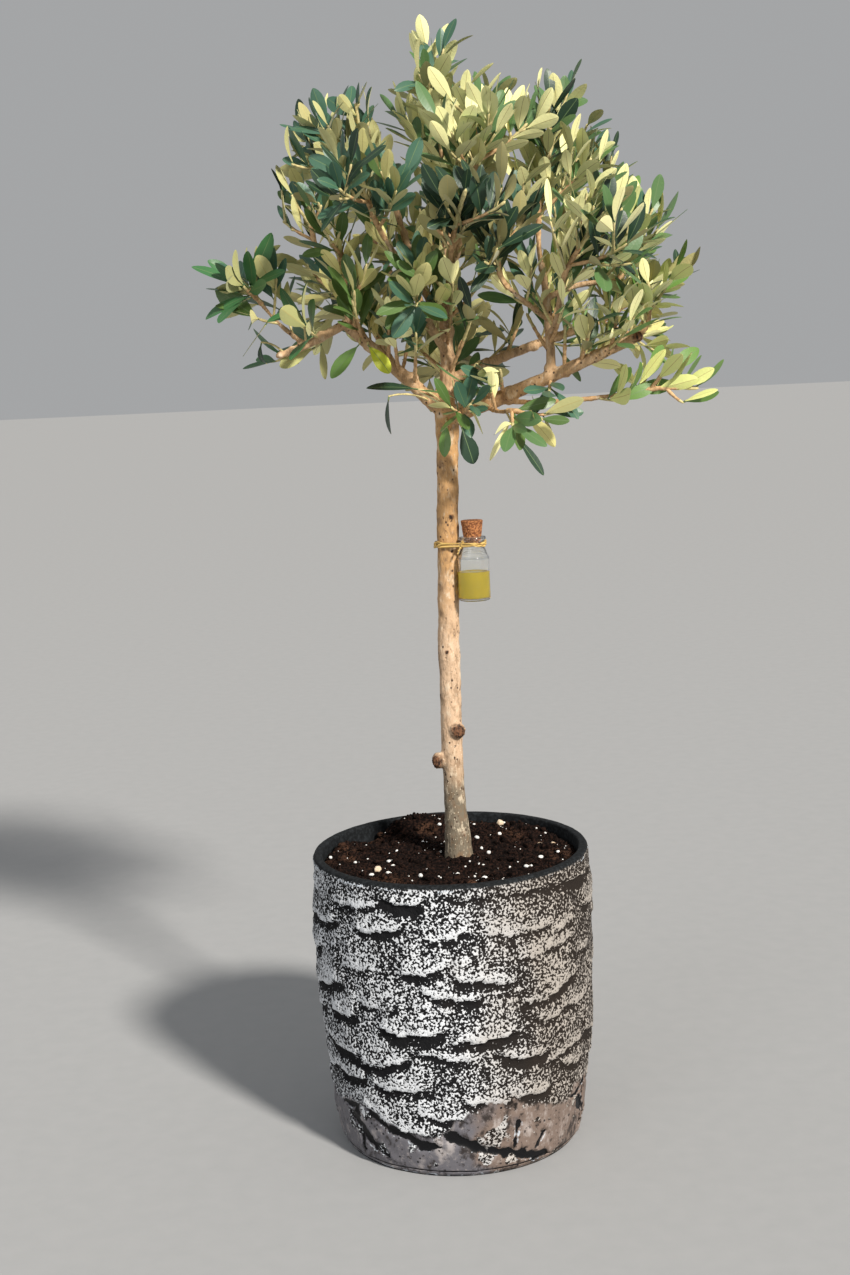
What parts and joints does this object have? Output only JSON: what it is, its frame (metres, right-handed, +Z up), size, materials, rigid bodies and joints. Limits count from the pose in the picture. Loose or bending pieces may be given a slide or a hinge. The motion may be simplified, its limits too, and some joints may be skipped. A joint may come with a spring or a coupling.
{
  "type": "potted olive tree",
  "caption": "Small olive tree with a bare trunk and an open rounded crown, in soil in a barrel-shaped cast stone pot, with a corked bottle of oil tied to its trunk.",
  "frame": {"origin": "centre of the pot's flat underside", "axes": "+Z up; -Y is the front, towards the camera; +X is the viewer's right"},
  "size_m": [0.4455, 0.3508, 0.9573],
  "materials": {
    "pot": "matte",
    "soil": "matte",
    "bark": "matte",
    "leaf": "matte",
    "glass": "gloss",
    "oil": "gloss",
    "cork": "matte",
    "raffia": "matte"
  },
  "bodies": {
    "root": {"pot": "pot", "soil": "soil", "trunk": "bark", "leader": "bark", "left_bough": "bark", "left_spur": "bark", "right_bough": "bark", "right_riser": "bark", "rear_right_bough": "bark", "right_outer_twig": "bark", "low_right_twig": "bark", "front_low_twig": "bark", "front_right_twig": "bark", "front_left_twig": "bark", "front_high_left_twig": "bark", "left_riser": "bark", "left_outer_twig": "bark", "far_left_twig": "bark", "top_left_branch": "bark", "top_front_branch": "bark", "top_rear_branch": "bark", "front_branch": "bark", "centre_right_twig": "bark", "front_right_branch": "bark", "rear_branch": "bark", "rear_left_branch": "bark", "rear_low_left_twig": "bark", "rear_right_riser": "bark", "rear_low_twig": "bark", "foliage_top": "leaf", "foliage_top_left": "leaf", "foliage_top_front": "leaf", "foliage_top_rear": "leaf", "foliage_right_top": "leaf", "foliage_right_outer": "leaf", "foliage_right_low": "leaf", "foliage_low_right": "leaf", "foliage_front_low": "leaf", "foliage_front_right_low": "leaf", "foliage_front_left": "leaf", "foliage_front_high_left": "leaf", "foliage_front": "leaf", "foliage_centre_right": "leaf", "foliage_front_right": "leaf", "foliage_left": "leaf", "foliage_left_outer": "leaf", "foliage_far_left": "leaf", "foliage_rear": "leaf", "foliage_rear_left": "leaf", "foliage_rear_low_left": "leaf", "foliage_rear_right": "leaf", "foliage_rear_low_right": "leaf", "foliage_rear_low": "leaf", "bottle": "glass", "oil": "oil", "cork": "cork", "raffia_tie": "raffia"}
  },
  "joints": []
}
